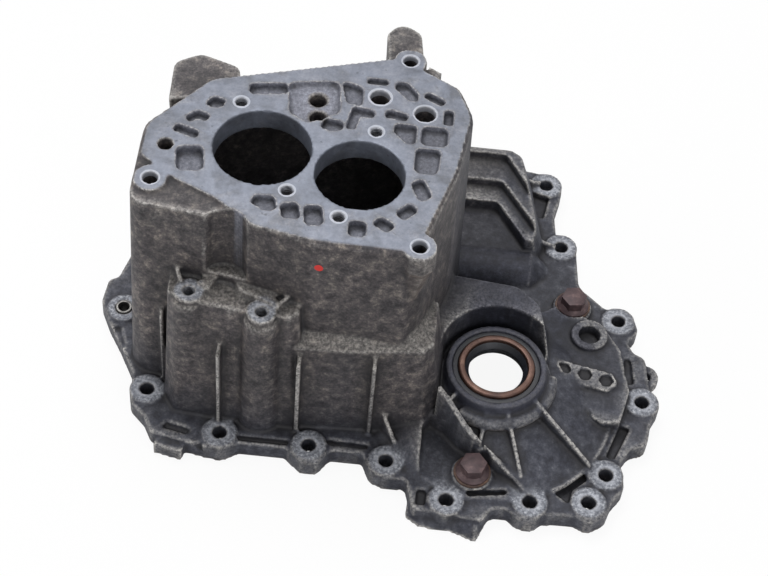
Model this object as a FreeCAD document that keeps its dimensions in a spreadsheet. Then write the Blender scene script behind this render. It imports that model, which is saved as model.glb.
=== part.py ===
"""Gearbox housing: one aluminium die casting with a shaft seal, two side bolts and a dowel sleeve.

Frame: +Z up along the shaft bores, Z = 0 on the mating face, X and Y at the middle of the bounding box.
"""
import FreeCAD, Part
import math
import os
from FreeCAD import Placement, Rotation, Vector

doc = FreeCAD.newDocument("gearbox_housing")

# ---------------------------------------------------------------- driving dimensions
SIZES = [
    # heights above the mating face
    ("end_face_level", 205.0, "machined end face that takes the rear cover"),
    ("end_face_proud", 2.5, "machined face above the cast shoulder"),
    ("end_plate", 18.0, "thickness of the plate round the bearing bores"),
    ("flange_plate", 16.0, "cast flange between its bolt bosses"),
    ("boss_face_level", 18.0, "spot faces of the flange bolt bosses"),
    ("wall", 6.0, "cast wall of the case"),
    ("floor_wall", 7.0, "plate that closes the case beside the tower"),
    ("draft_spread", 6.0, "how far the case walls lean out from top to bottom"),
    ("corner_flat", 4.0, "corners smaller than this have a flat across them"),
    ("seat_gap", 0.3, "air between a moulded or bought piece and the bore round it"),
    # shaft bores
    ("input_x", -95.0, "input shaft bearing bore"),
    ("input_y", 0.0, "input shaft bearing bore"),
    ("input_radius", 34.0, "input shaft bearing bore"),
    ("output_x", -26.2, "output shaft bearing bore"),
    ("output_y", -16.4, "output shaft bearing bore"),
    ("output_radius", 31.0, "output shaft bearing bore"),
    # differential side
    ("seal_x", 85.4, "drive shaft axis"),
    ("seal_y", -58.0, "drive shaft axis"),
    ("nose_level", 58.0, "face of the seal nose"),
    ("nose_radius", 36.7, "outside of the seal nose"),
    ("nose_root", 39.5, "seal nose where it meets the collar"),
    ("seal_radius", 32.4, "seat of the shaft seal"),
    ("seal_depth", 11.0, "seat of the seal below the nose face"),
    ("jacket_recess", 1.6, "seal's rubber outside below the nose face"),
    ("jacket_thick", 4.0, "seal's rubber outside, from its seat to the steel ring"),
    ("ring_width", 5.1, "steel ring of the seal, from outside to inside"),
    ("ring_proud", 0.6, "steel ring above the nose face"),
    ("lip_reach", 3.2, "how far the seal lip stands in from the ring"),
    ("seat_shoulder", 6.9, "shoulder of the casting under the seal"),
    ("cup_radius", 34.0, "seat of the differential bearing cup"),
    ("cup_wall", 5.0, "differential bearing cup, wall at its middle"),
    ("cup_height", 13.0, "differential bearing cup"),
    ("seat_web", 3.0, "casting between the cup's seat and the seal's"),
    ("cone_foot", 91.0, "foot of the cone over the ring gear"),
    ("cone_neck", 43.0, "top of the cone under the seal nose"),
    ("cone_low", 17.0, "level of the foot of the cone"),
    ("cone_high", 38.0, "level of the top of the cone"),
    ("collar_radius", 40.0, "rounded collar round the nose, its centre line"),
    ("collar_thick", 5.0, "rounded collar, section radius"),
    ("collar_level", 41.0, "rounded collar, level of its centre line"),
    ("tower_level", 75.0, "top of the raised wall behind the seal nose"),
    ("joint_clearance", 42.5, "clearance round the drive shaft joint"),
    # bolts and holes
    ("flange_hole", 5.3, "M10 clearance hole radius in the flange"),
    ("flange_boss", 13.0, "flange bolt boss radius"),
    ("ear_hole", 5.2, "M10 clearance hole radius in the ears of the end face"),
    ("ear_radius", 11.8, "ears of the end face"),
    ("cover_thread", 4.2, "M10 thread drilled radius, end face"),
    ("ear_depth", 19.0, "length of the holes through the ears and the end plate"),
    ("rod_small", 6.1, "selector rod bore radius, small pair"),
    ("rod_middle", 7.0, "selector rod bore radius, reverse rod"),
    ("rod_large", 7.4, "selector rod bore radius, main rod"),
    ("thin_ear_hole", 4.5, "hole of the thin ear at the flange's right"),
    ("socket_radius", 5.6, "hexagon sockets of the long pad, across corners / 2"),
    ("head_flats", 17.0, "side bolt head across flats"),
    ("head_height", 7.0, "side bolt head"),
    ("head_collar", 12.2, "side bolt collar radius"),
    ("head_collar_height", 4.0, "side bolt collar"),
    ("washer_radius", 13.6, "washer under a side bolt"),
    ("washer_thick", 1.8, "washer under a side bolt"),
    ("shank_radius", 5.0, "side bolt shank"),
    ("shank_length", 16.0, "side bolt shank below the washer"),
    ("side_seat_level", 21.0, "spot face under a side bolt's washer"),
    ("dowel_radius", 6.0, "locating sleeve, outside"),
    ("dowel_hole", 4.3, "locating sleeve, hole"),
    ("dowel_length", 17.0, "locating sleeve"),
    # shift housing at the front
    ("shift_level", 137.0, "top of the shift housing"),
    ("shift_boss_radius", 10.5, "threaded bosses of the shift housing"),
    ("shift_boss_proud", 2.0, "threaded boss above the shift housing"),
    ("ledge_level", 104.0, "ledge on the front wall"),
    ("channel_radius", 16.0, "half-round channel in the front wall"),
    ("channel_x", -112.5, "half-round channel, its centre line"),
    ("channel_y", -73.5, "half-round channel, its centre line"),
    ("rib_thick", 3.0, "cast ribs of the case"),
    ("cone_rib", 2.6, "cast ribs of the cone"),
    ("crest_thick", 4.0, "wall at the front edge of the cone"),
    ("sector_level", 26.5, "raised sector right of the seal nose"),
    ("plug_level", 31.0, "face of the plug boss"),
    ("plug_x", 156.9, "plug boss"),
    ("plug_y", 0.5, "plug boss"),
    ("plug_radius", 8.2, "blind hole of the plug boss"),
    # raised bay at the back right
    ("rim_level", 58.0, "rim of the stepped bay"),
    ("step_one", 49.0, "upper step of the stepped bay"),
    ("step_two", 40.0, "middle step of the stepped bay"),
    ("step_three", 28.0, "lower step of the stepped bay"),
    ("barrel_y", 69.0, "rounded barrel, its centre line"),
    ("barrel_z", 9.0, "rounded barrel, its centre line"),
    ("barrel_radius", 21.0, "rounded barrel in front of the stepped bay"),
]

FLANGE_BOLTS = {
    "a": (-168.9, -80.9), "b": (-110.9, -112.7), "c": (-45.2, -116.0), "d": (11.7, -122.8),
    "e": (57.3, -150.9), "f": (117.4, -145.6), "g": (159.8, -141.3), "k": (172.1, -116.3),
    "l": (198.7, -48.6), "n": (180.8, 25.7), "p": (134.7, 94.2), "q": (121.3, 157.9),
    "u": (40.0, 158.0), "v": (-38.0, 128.0), "w": (-108.0, 110.0), "x": (-168.0, 72.0),
}
EARS = {"left": (-166.9, -37.4), "front": (18.9, -74.3), "rear": (0.8, 96.9)}
COVER_THREADS = {"one": (-114.6, 40.5), "two": (-18.2, 25.0), "three": (-74.0, -36.7), "four": (-37.2, -55.5)}
SIDE_BOLTS = {"upper": (144.5, 33.0), "lower": (74.5, -128.0)}
SHIFT_BOSSES = {"left": (-136.0, -79.0), "right": (-84.0, -91.0)}
RODS = {"one": (-61.6, 53.2), "two": (-60.0, 36.5), "three": (-18.1, 58.3), "four": (14.6, 46.3)}
DOWEL = (-197.8, -8.7)
PLAIN_HOLE = (-161.2, -5.7)

sheet = doc.addObject("Spreadsheet::Sheet", "dimensions")
rows = list(SIZES)
for group, places in (("flange_bolt", FLANGE_BOLTS), ("ear", EARS), ("cover_thread", COVER_THREADS),
                      ("side_bolt", SIDE_BOLTS), ("shift_boss", SHIFT_BOSSES), ("rod", RODS), ("dowel", {"sleeve": DOWEL}),
                      ("plain_hole", {"plain": PLAIN_HOLE})):
    for key, (px, py) in places.items():
        rows.append((f"{group}_{key}_x", px, "centre"))
        rows.append((f"{group}_{key}_y", py, "centre"))
for row, (alias, value, note) in enumerate(rows, 1):
    sheet.set(f"A{row}", alias)
    sheet.set(f"B{row}", str(value))
    sheet.setAlias(f"B{row}", alias)
    sheet.set(f"C{row}", note)
doc.recompute()


def size(alias):
    """The value of one driving dimension."""
    return float(sheet.get(alias))


def bind(thing, **expressions):
    """Bind properties of an object to expressions in the sheet's aliases."""
    for name, text in expressions.items():
        path = {"x": "Placement.Base.x", "y": "Placement.Base.y", "z": "Placement.Base.z"}.get(name, name)
        thing.setExpression(path, cells(text))
    return thing


ALIASES = sorted((alias for alias, _, _ in rows), key=len, reverse=True)


def cells(text):
    """Write every alias in an expression as a reference to the sheet."""
    words = "".join(c if c.isalnum() or c == "_" else f" {c} " for c in str(text)).split(" ")
    return "".join(f"dimensions.{w}" if w in ALIASES else w for w in words)


# ---------------------------------------------------------------- building blocks
def cylinder(name, radius, bottom, top, x, y):
    """An upright cylinder between two levels."""
    thing = doc.addObject("Part::Cylinder", name)
    return bind(thing, Radius=radius, Height=f"({top}) - ({bottom})", x=x, y=y, z=bottom)


def cone(name, low, high, bottom, top, x, y):
    """An upright cone between two levels."""
    thing = doc.addObject("Part::Cone", name)
    return bind(thing, Radius1=low, Radius2=high, Height=f"({top}) - ({bottom})", x=x, y=y, z=bottom)


def fuse(name, *things):
    """The union of several solids."""
    whole = doc.addObject("Part::MultiFuse", name)
    whole.Shapes = list(things)
    whole.Refine = True
    return whole


def cut(name, base, tool):
    """One solid less another."""
    rest = doc.addObject("Part::Cut", name)
    rest.Base = base
    rest.Tool = tool
    rest.Refine = True
    return rest


def moved(corners, distance):
    """The same rounded polygon with every side moved outwards by a distance."""
    count = len(corners)
    area = sum(corners[i - 1][0] * corners[i][1] - corners[i][0] * corners[i - 1][1] for i in range(count))
    side = 1.0 if area > 0 else -1.0
    lines = []
    for i in range(count):
        x0, y0 = corners[i - 1][:2]
        x1, y1 = corners[i][:2]
        length = math.hypot(x1 - x0, y1 - y0)
        ux, uy = (x1 - x0) / length, (y1 - y0) / length
        lines.append((x0 + side * uy * distance, y0 - side * ux * distance, ux, uy))
    result = []
    for i in range(count):
        ax, ay, aux, auy = lines[i]
        bx, by, bux, buy = lines[(i + 1) % count]
        cross = aux * buy - auy * bux
        if abs(cross) < 1e-6:
            result.append((bx, by, corners[i][2]))
            continue
        along = ((bx - ax) * buy - (by - ay) * bux) / cross
        convex = side * cross > 0
        radius = corners[i][2] + (distance if convex else -distance)
        radius = max(radius, 0.5) if corners[i][2] else 0
        result.append((ax + aux * along, ay + auy * along, radius))
    return result


def plain(corners):
    """The same polygon without rounding, for the rough inside of the casting."""
    return [(px, py, 0) for px, py, _ in corners]


def outline_edges(corners):
    """Lines and tangent arcs through a closed list of corners (x, y, radius).

    Radius 0 is a plain corner, and a corner smaller than corner_flat is cast with a flat across it.
    """
    starts, ends, arcs = [], [], []
    count = len(corners)
    for i in range(count):
        x0, y0 = corners[i - 1][:2]
        x1, y1, radius = corners[i]
        x2, y2 = corners[(i + 1) % count][:2]
        before = Vector(x0 - x1, y0 - y1, 0).normalize()
        after = Vector(x2 - x1, y2 - y1, 0).normalize()
        half = before.getAngle(after) / 2
        flat = 0 < radius < size("corner_flat")
        back = radius * (0.75 if flat else 1) / math.tan(half)
        corner = Vector(x1, y1, 0)
        starts.append(corner + before * back)
        ends.append(corner + after * back)
        inward = before + after
        middle = corner + inward.normalize() * (radius / math.sin(half) - radius) if radius else corner
        across = Part.LineSegment(starts[i], ends[i]) if flat else None
        arcs.append(across if flat or not radius else Part.Arc(starts[i], middle, ends[i]))
    edges = []
    for i in range(count):
        if arcs[i]:
            edges.append(arcs[i])
        edges.append(Part.LineSegment(ends[i], starts[(i + 1) % count]))
    return edges


def sketch(name, corners, level):
    """A sketch of a rounded polygon, lying flat at a level."""
    drawing = doc.addObject("Sketcher::SketchObject", name)
    drawing.addGeometry(outline_edges(corners), False)
    return bind(drawing, z=level)


def prism(name, corners, bottom, top):
    """A rounded polygon pulled up between two levels."""
    pulled = doc.addObject("Part::Extrusion", name)
    pulled.Base = sketch(name + "_outline", corners, bottom)
    pulled.DirMode = "Custom"
    pulled.Dir = Vector(0, 0, 1)
    pulled.Solid = True
    return bind(pulled, LengthFwd=f"({top}) - ({bottom})")


def drafted(name, low, high, bottom, top):
    """A wall block that leans: one rounded polygon at the bottom, another at the top."""
    skin = doc.addObject("Part::Loft", name)
    skin.Sections = [sketch(name + "_foot", low, bottom), sketch(name + "_head", high, top)]
    skin.Solid = True
    skin.Ruled = True
    return skin


def rib(name, start, end, low, high_start, high_end, thick="rib_thick"):
    """An upright rib between two points, with a sloping top edge."""
    (x0, y0), (x1, y1) = start, end
    length = math.hypot(x1 - x0, y1 - y0)
    half = size(thick) / 2
    side = Vector(-(y1 - y0) / length * half, (x1 - x0) / length * half, 0)
    face = [Vector(x0, y0, low), Vector(x1, y1, low), Vector(x1, y1, high_end), Vector(x0, y0, high_start)]
    plate = Part.Face(Part.makePolygon(face + [face[0]]))
    thing = doc.addObject("Part::Feature", name)
    thing.Shape = plate.translated(side).extrude(side * -2)
    return thing


def bores(name, places, group, radius, bottom, top):
    """One upright hole for each place of a group, as a single tool."""
    return [cylinder(f"{name}_{key}", radius, bottom, top, f"{group}_{key}_x", f"{group}_{key}_y") for key in places]


# ---------------------------------------------------------------- the casting: outside
# Outline of the tower's end face, anticlockwise from the front left, with the radius of each corner.
TOWER = [(-179.5, -57.5, 13), (-110, -66, 30), (-50, -80.5, 40), (13, -82, 6), (22, -70, 8), (41.5, -5, 60),
         (49.5, 48, 25), (38, 76, 16), (10, 92, 10), (3, 104, 8), (-138, 62, 20), (-178.5, 13, 18)]
# The face itself is machined; a rough cast shoulder is left below it at the front left.
END_FACE = [(-177.4, -17, 8), (-150, -36.5, 12), (-122, -49.5, 12), (-93, -70.5, 8), (-50, -78.5, 40), (13, -80, 6),
            (20, -69, 8), (39.5, -5, 60), (47.5, 48, 23), (36.5, 74.5, 15), (9, 90, 9), (2, 101.8, 6),
            (-137.5, 60, 18), (-176.5, 12, 16)]
FLANGE = [(-200, 48, 10), (-207, 22, 3.5), (-214, 18, 3.5), (-216, -3, 9), (-207, -22, 8), (-196, -40, 20),
          (-182, -66, 12), (-180, -92, 8), (-168, -104, 8), (-161, -117, 3.5), (-150, -119.5, 8), (-122, -125, 3.5),
          (-108, -127, 10), (-96, -119.5, 3.5), (-62, -119.5, 3.5), (-50, -131, 9), (-38, -131, 8), (-29, -117.5, 8),
          (-6, -117.5, 3.5), (1, -133, 8), (12, -137, 10), (27, -136, 3.5), (31, -150, 3.5), (33, -160, 3.5),
          (84, -164, 3.5), (90, -154, 3.5), (101, -152, 8), (110, -160, 8), (122, -160, 3.5), (128, -154, 8),
          (150, -153, 10), (161, -158, 8), (173, -150, 8), (177, -138, 8), (186, -125, 8), (183, -103, 8),
          (190, -91, 3.5), (203, -85, 8), (206, -64, 10), (213, -50, 7), (205, -36, 3.5), (202, -6, 8),
          (193, -2, 3.5), (188, 8, 3.5), (198, 20, 8), (186, 40, 8), (172, 37, 8), (150, 57, 14),
          (147, 96, 8), (131, 106, 8), (129, 128, 12), (135, 156, 10), (122, 171, 10), (104, 174, 10),
          (40, 173, 10), (18, 148, 15), (-20, 137, 12), (-80, 124, 20), (-130, 108, 20), (-172, 84, 14)]
outside = []
outside.append(drafted("case_walls", moved(TOWER, size("draft_spread")), TOWER, "0", "end_face_level - end_face_proud"))
outside.append(prism("end_face", END_FACE, "end_face_level - 12", "end_face_level"))
outside.append(prism("flange", FLANGE, "0", "flange_plate"))
for key in FLANGE_BOLTS:
    at = (f"flange_bolt_{key}_x", f"flange_bolt_{key}_y")
    outside.append(cylinder(f"flange_boss_{key}", "flange_boss", "0", "boss_face_level", *at))
outside.append(cylinder("dowel_boss", "dowel_radius + 6.5", "0", "boss_face_level", "dowel_sleeve_x", "dowel_sleeve_y"))

# Ears of the end face, the front one tapering back into the wall, and the two rough cast lugs behind them.
for key in EARS:
    at = (f"ear_{key}_x", f"ear_{key}_y")
    outside.append(cylinder(f"ear_{key}", "ear_radius", "end_face_level - 18", "end_face_level", *at))
EAR_HEAD = [(9, -76, 0), (13, -84.5, 0), (23, -85, 0), (30, -78, 0), (28, -66, 0), (16, -62, 0)]
EAR_FOOT = [(9, -75, 0), (12, -78, 0), (16, -78, 0), (19, -74, 0), (18, -68, 0), (12, -66, 0)]
outside.append(drafted("ear_root", EAR_FOOT, EAR_HEAD, "end_face_level - 62", "end_face_level - 17"))
LUG_LEFT = [(-167, 45, 0), (-168, 82, 9), (-150, 93, 12), (-121, 83, 8), (-116, 55, 0)]
LUG_REAR = [(-14, 95, 0), (-18.5, 131, 9), (-8, 144, 10), (7, 134, 8), (12, 95, 0)]
outside.append(drafted("lug_left", moved(LUG_LEFT, -3), LUG_LEFT, "100", "196"))
outside.append(drafted("lug_rear", moved(LUG_REAR, -2), LUG_REAR, "110", "197"))
outside.append(prism("lug_small", [(8, 92, 0), (15, 104, 0), (24, 99, 0), (22, 88, 0)], "150", "194"))

# Shift housing: two half-round columns under threaded bosses, with a thin wall between them.
HOUSING_FOOT = [(-156, -60, 0), (-156, -84, 3.5), (-147, -98, 3.5), (-108, -102, 0), (-98, -102, 0), (-56, -103, 3.5),
                (-50, -98, 0), (-46, -66, 0)]
HOUSING_HEAD = [(-151, -50, 0), (-151, -79, 3.5), (-143, -87, 3.5), (-112, -89, 0), (-100, -91, 0), (-65, -93, 3.5),
                (-58.5, -87, 0), (-57.5, -60, 0)]
outside.append(drafted("shift_housing", HOUSING_FOOT, HOUSING_HEAD, "0", "shift_level"))
for key in SHIFT_BOSSES:
    at = (f"shift_boss_{key}_x", f"shift_boss_{key}_y")
    outside.append(cone(f"shift_column_{key}", "18", "12.5", "0", "shift_level - 4", *at))
    outside.append(cylinder(f"shift_boss_{key}", "shift_boss_radius", "shift_level - 12",
                            "shift_level + shift_boss_proud", *at))
SHIFT_WEB = [(-131, -72, 0), (-120, -58, 0), (-104, -58, 0), (-97.5, -67, 0), (-78, -73, 0), (-71, -88, 0),
             (-80, -84, 0), (-101, -76.5, 4), (-107, -66.5, 3), (-117.5, -66.5, 4), (-123, -78, 0)]
outside.append(prism("shift_web", SHIFT_WEB, "shift_level - 40", "shift_level + 4"))
outside.append(rib("shift_fin_left", (-151, -52), (-141, -76), 100, 152, 139))
outside.append(rib("shift_fin_right", (-57.5, -68), (-79, -91), 100, 146, 139))

# Lower front wall with its ledge, and the thin upright ribs of the front.
LEDGE_FOOT = [(-64, -60, 0), (-62, -101, 0), (-17, -98.5, 0), (38, -97, 3.5), (50, -84, 3.5), (54, -50, 0)]
LEDGE_HEAD = [(-64, -50, 0), (-62, -94, 0), (-17, -92, 0), (30, -86, 3.5), (37, -78, 3.5), (38, -40, 0)]
outside.append(drafted("front_wall_low", LEDGE_FOOT, LEDGE_HEAD, "0", "ledge_level"))
LEDGE_SLOPE = [(-62, -62, 0), (-61, -93.5, 0), (-17, -91.5, 0), (31, -85, 0), (36, -76, 0), (34, -46, 0)]
LEDGE_BACK = [(-60, -58, 0), (-59, -81, 0), (-17, -84, 0), (20, -81, 0), (25, -72, 0), (25, -50, 0)]
outside.append(drafted("ledge_slope", LEDGE_SLOPE, LEDGE_BACK, "ledge_level - 1", "ledge_level + 8"))
outside.append(rib("front_rib_a", (-158, -50), (-158, -70), 0, 106, 92))
outside.append(rib("front_rib_b", (-113, -70), (-113, -105), 0, 100, 100))
outside.append(rib("front_rib_c", (-56, -70), (-56, -105), 0, 101, 98))
outside.append(rib("front_rib_d", (-3, -70), (-3, -101), 0, 103, 98))
outside.append(rib("foot_rib_a", (5, -92), (19, -112), 0, 40, 19))
outside.append(rib("foot_rib_b", (44, -84), (19, -112), 0, 34, 19))

# Broken casting lug at the front edge, sloping down to the mating face.
SPRUE_FOOT = [(30, -145, 0), (29, -159, 0), (40, -166, 0), (62, -167, 0), (81, -174, 0), (87, -160, 0), (88, -145, 0)]
SPRUE_HEAD = [(32, -145, 0), (31, -151, 0), (44, -153, 0), (62, -158.5, 0), (80, -161, 0), (85, -156, 0), (86, -145, 0)]
outside.append(drafted("sprue_lug", SPRUE_FOOT, SPRUE_HEAD, "0", "flange_plate"))
outside.append(prism("sprue_step", [(-158, -125, 0), (-137, -129.5, 0), (-134, -118, 0), (-156, -113, 0)], "0", "12"))
outside.append(prism("side_lug", [(112, 10, 0), (120, 22, 0), (130, 17, 0), (133, 6, 0), (122, 3, 0)], "0", "26"))
outside.append(cylinder("thin_ear", "10.5", "2", "11", "202.3", "-19.3"))
outside.append(prism("thin_ear_neck", [(186, -36, 0), (201, -29.5, 0), (201, -9, 0), (186, -6, 0)], "2", "11"))

# Differential side: cone over the ring gear, rounded collar and seal nose.
AXIS = ("seal_x", "seal_y")
gear_cone = cone("gear_cone", "cone_foot", "cone_neck", "cone_low", "cone_high", *AXIS)
gear_base = cylinder("gear_base", "cone_foot", "0", "cone_low", *AXIS)
FRONT_FLOOR = [(36, -160, 0), (36, -88, 0), (52, -93, 0), (62, -104, 0), (78, -115, 0), (95, -123, 0), (116, -142, 0)]
floor_cut = prism("front_floor_space", FRONT_FLOOR, "boss_face_level", "cone_high + 10")
outside.append(cut("gear_cover", fuse("gear_cover_whole", gear_cone, gear_base), floor_cut))
outside.append(cone("seal_nose", "nose_root", "nose_radius", "cone_high - 6", "nose_level", *AXIS))
outside.append(cone("collar", "collar_radius + collar_thick", "collar_radius + 1", "cone_high - 3", "collar_level + collar_thick",
                    *AXIS))
# Edge of the cone at the front: a wall that falls in a curve from the tower's corner to the flange.
CREST = [(44, -88, 68), (54, -94.5, 59), (63, -104.5, 52), (77, -115, 42), (94, -123.5, 31), (113, -133.5, 18)]
for number in range(len(CREST) - 1):
    (x0, y0, z0), (x1, y1, z1) = CREST[number], CREST[number + 1]
    outside.append(rib(f"crest_{number}", (x0, y0), (x1 + 0.4, y1 - 0.3), 5, z0, z1, "crest_thick"))
outside.append(rib("cone_rib_a", (64, -75), (52, -88), 20, 55, 48, "cone_rib"))
outside.append(rib("cone_rib_b", (82, -84), (77.5, -116), 15, 56, 30, "cone_rib"))
outside.append(rib("cone_rib_c", (93, -86), (110, -130), 15, 56, 23, "cone_rib"))
outside.append(rib("cone_rib_d", (107, -76), (160, -112.5), 15, 56, 21, "cone_rib"))

# Raised sector right of the nose, its bolt bosses and the long pad with three hexagon sockets.
SECTOR = [(100, -30, 0), (118, -42, 0), (128, -52, 0), (137, -57.5, 6), (150, -60, 5), (158, -65, 4), (160, -73, 4),
          (168, -77, 5), (181, -75, 0), (188, -46, 0), (181, -8, 0), (168, 12, 0), (134, 30, 0), (112, 14, 0)]
outside.append(prism("raised_sector", SECTOR, "0", "sector_level"))
outside.append(prism("socket_pad", [(126, -33, 5), (132, -25, 5), (175, -33.5, 6), (179, -43, 5), (171, -51, 5),
                                    (130, -42.5, 6)], "10", "sector_level + 3.5"))
for key in SIDE_BOLTS:
    outside.append(cylinder(f"bolt_boss_{key}", "washer_radius + 1.2", "0", "side_seat_level", f"side_bolt_{key}_x",
                            f"side_bolt_{key}_y"))
outside.append(cylinder("plug_boss", "14", "0", "plug_level", "plug_x", "plug_y"))

# Raised wall behind the nose and the rounded barrel behind it.
RAISED_FOOT = [(20, -60, 0), (115, -60, 0), (134, -40, 14), (131, 10, 16), (118, 52, 14), (20, 60, 0)]
RAISED_HEAD = [(20, -52, 0), (106, -52, 0), (119, -36, 12), (113, -10, 16), (96, 4, 12), (20, 12, 0)]
raised = drafted("raised_wall_block", RAISED_FOOT, RAISED_HEAD, "0", "tower_level")
joint_space = cylinder("joint_space", "joint_clearance", "cone_high + 8", "tower_level + 1", *AXIS)
outside.append(cut("raised_wall", raised, joint_space))
barrel = doc.addObject("Part::Cylinder", "barrel")
bind(barrel, Radius="barrel_radius", Height="80", x="30", y="barrel_y", z="barrel_z")
barrel_end = doc.addObject("Part::Cone", "barrel_end")
bind(barrel_end, Radius1="barrel_radius", Radius2="barrel_radius - 13", Height="15", x="109.9", y="barrel_y", z="barrel_z")
for piece in (barrel, barrel_end):
    piece.Placement.Rotation = Rotation(Vector(0, 1, 0), 90)
    outside.append(cut(f"{piece.Name}_upper", piece, prism(f"{piece.Name}_under", [(20, 30, 0), (140, 30, 0), (140, 110, 0),
                                                                                  (20, 110, 0)], "-40", "1")))

# Bay at the back right, stepped inside like a stair that turns the corner.
BAY_FOOT = [(10, 70, 0), (120, 76, 0), (126, 92, 20), (114, 160, 10), (96, 167, 8), (10, 170, 0)]
BAY_HEAD = [(10, 80, 0), (105, 81, 0), (108, 92, 20), (97, 150, 8), (88, 156, 5), (10, 156, 0)]
bay = drafted("bay_block", BAY_FOOT, BAY_HEAD, "0", "rim_level")
steps = []
for number, (level, back, bend, front) in enumerate((("step_one", 151, 85, (112, 105)), ("step_two", 130.5, 83, (112, 86)),
                                                      ("step_three", 116, 81, (112, 66)))):
    tread = [(-10, 40, 0), (150, 40, 0), (150, front[1] - 20, 0), front + (0,), (bend, back, 6), (-10, back, 0)]
    steps.append(prism(f"tread_{number}", tread, level, "rim_level + 5"))
outside.append(cut("stepped_bay", bay, fuse("treads", *steps)))
outside.append(rib("bay_web_a", (88, 150), (120, 160), 0, 34, 18))
outside.append(rib("bay_web_b", (108, 92), (134, 94), 0, 30, 18))

# ---------------------------------------------------------------- the casting: inside, open at the mating face
hollow = []
rough = plain(TOWER)
tower_space = drafted("tower_space", moved(rough, size("draft_spread") - size("wall")), moved(rough, -size("wall")),
                      "-1", "end_face_level - end_plate")
channel_wall = cylinder("channel_wall", "channel_radius + wall - 1", "shift_level", "end_face_level", "channel_x", "channel_y")
hollow.append(cut("tower_room", tower_space, channel_wall))
hollow.append(drafted("shift_space", moved(plain(HOUSING_FOOT), -size("wall")), moved(plain(HOUSING_HEAD), -size("wall")),
                      "-1", "shift_level - 32"))
hollow.append(drafted("front_space", moved(plain(LEDGE_FOOT), -size("wall")), moved(plain(LEDGE_HEAD), -size("wall")),
                      "-1", "ledge_level - floor_wall"))
gear_space = cone("gear_space", "cone_foot - floor_wall", "cone_neck - floor_wall", "cone_low - floor_wall",
                  "cone_high - floor_wall", *AXIS)
gear_room = cylinder("gear_room", "cone_foot - floor_wall", "-1", "cone_low - floor_wall", *AXIS)
floor_keep = prism("front_floor_metal", moved(FRONT_FLOOR, 5), "flange_plate - floor_wall", "cone_high + 20")
hollow.append(cut("gear_hollow", fuse("gear_hollow_whole", gear_space, gear_room), floor_keep))
hollow.append(drafted("raised_space", moved(plain(RAISED_FOOT), -9), moved(plain(RAISED_HEAD), -9), "-1",
                      "cone_high - floor_wall"))
BAY_SPACE = [(10, 60, 0), (104, 60, 0), (116, 82, 0), (116, 92, 0), (106, 146, 0), (92, 156, 0), (10, 156, 0)]
hollow.append(prism("bay_space", BAY_SPACE, "-1", "flange_plate - wall"))
hollow.append(prism("bay_step_space", [(10, 84, 0), (98, 84, 0), (92, 148, 0), (10, 148, 0)], "-1", "step_three - floor_wall"))
shell = cut("shell", fuse("outside_whole", *outside), fuse("hollow_whole", *hollow))

# Bosses that stand inside the hollow case.
inner = []
for key in SIDE_BOLTS:
    inner.append(cylinder(f"inner_boss_{key}", "10", "1", "flange_plate - 2",
                          f"side_bolt_{key}_x", f"side_bolt_{key}_y"))
inner.append(cylinder("cup_housing", "cup_radius + 5", "nose_level - seal_depth - seat_web - cup_height",
                      "nose_level - seal_depth", *AXIS))

# ---------------------------------------------------------------- holes, bores and pockets
tools = []
for key in ("input", "output"):
    at = (f"{key}_x", f"{key}_y")
    tools.append(cylinder(f"{key}_bore", f"{key}_radius", "end_face_level - 40", "end_face_level + 1", *at))
seat = "nose_level - seal_depth"
tools.append(cylinder("seal_seat", "seal_radius", seat, "nose_level + 1", *AXIS))
tools.append(cylinder("shaft_way", "seal_radius - seat_shoulder", f"{seat} - seat_web - 1", f"{seat} + 1", *AXIS))
tools.append(cylinder("cup_seat", "cup_radius", "-1", f"{seat} - seat_web", *AXIS))
tools += bores("flange_hole", FLANGE_BOLTS, "flange_bolt", "flange_hole", "-1", "boss_face_level + 1")
through = "end_face_level - ear_depth"
tools += bores("ear_hole", EARS, "ear", "ear_hole", through, "end_face_level + 1")
tools += bores("plain_hole", ["plain"], "plain_hole", "ear_hole", through, "end_face_level + 1")
tools += bores("thread", COVER_THREADS, "cover_thread", "cover_thread", through, "end_face_level + 1")
for key, radius in (("one", "rod_small"), ("two", "rod_small"), ("three", "rod_middle"), ("four", "rod_large")):
    tools.append(cylinder(f"rod_bore_{key}", radius, through, "end_face_level + 1", f"rod_{key}_x", f"rod_{key}_y"))
tools += bores("shift_thread", SHIFT_BOSSES, "shift_boss", "cover_thread", "shift_level - 24", "shift_level + 3")
tools += bores("side_bolt_hole", SIDE_BOLTS, "side_bolt", "shank_radius + seat_gap",
               "side_seat_level - shank_length - 2", "side_seat_level + 1")
tools += bores("spot_face", SIDE_BOLTS, "side_bolt", "washer_radius + 0.6", "side_seat_level", "nose_level")
tools.append(cylinder("plug_hole", "plug_radius", "plug_level - 11", "plug_level + 1", "plug_x", "plug_y"))
tools.append(cylinder("thin_ear_hole", "thin_ear_hole", "1", "12", "202.3", "-19.3"))
tools.append(cylinder("dowel_seat", "dowel_radius + seat_gap", "2", "boss_face_level + 1", "dowel_sleeve_x",
                      "dowel_sleeve_y"))
tools.append(cylinder("dowel_way", "dowel_hole", "-1", "3", "dowel_sleeve_x", "dowel_sleeve_y"))
# Half-round channel down the front wall, above the shift housing.
tools.append(cylinder("front_channel", "channel_radius", "shift_level + 8", "end_face_level + 1", "channel_x", "channel_y"))

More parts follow.
